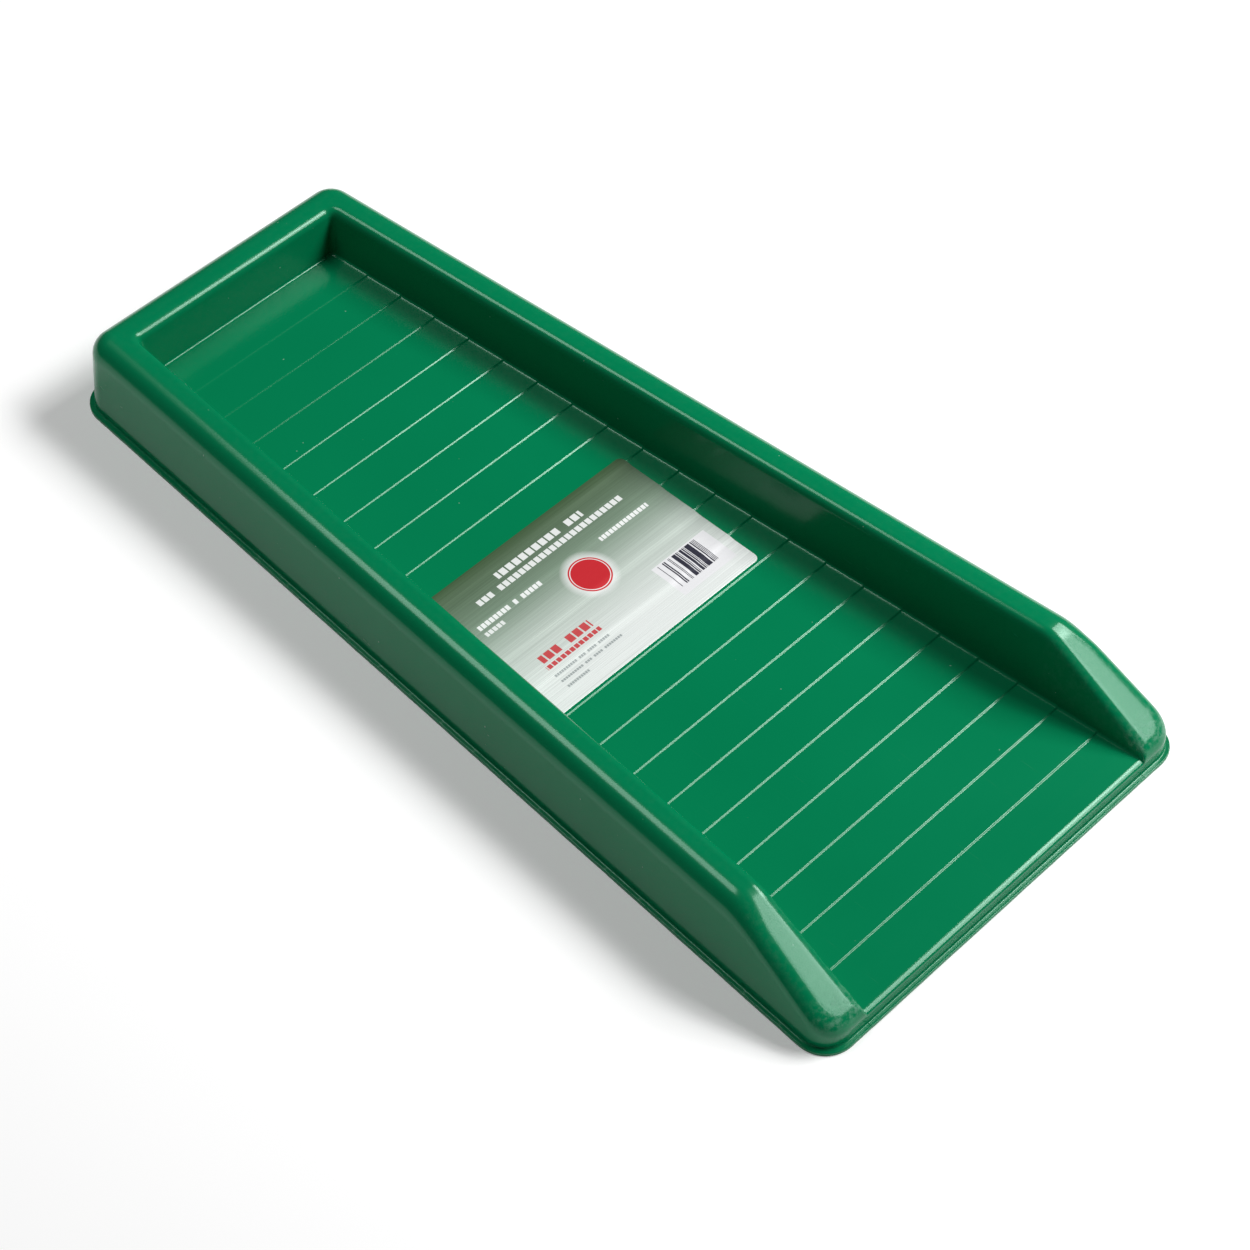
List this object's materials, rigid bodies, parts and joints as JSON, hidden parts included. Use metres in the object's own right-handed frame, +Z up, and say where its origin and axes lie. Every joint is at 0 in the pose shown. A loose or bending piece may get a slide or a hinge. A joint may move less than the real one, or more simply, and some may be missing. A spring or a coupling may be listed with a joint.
{
  "type": "downspout splash guard",
  "caption": "Shallow tapered plastic tray, open at the wide front, with hollow rim walls on three sides and a stepped floor that sheds water.",
  "frame": {"origin": "on the ground, at the centre of the footprint", "axes": "+Z up, +Y along the length towards the closed back end, +X across the width"},
  "size_m": [0.2948, 0.61, 0.0533],
  "materials": {
    "green_plastic": "semi-gloss moulded plastic",
    "printed_label": "satin metallic printed film"
  },
  "bodies": {
    "root": {"tray_shell": "green_plastic", "label_sheet": "printed_label"}
  },
  "joints": []
}
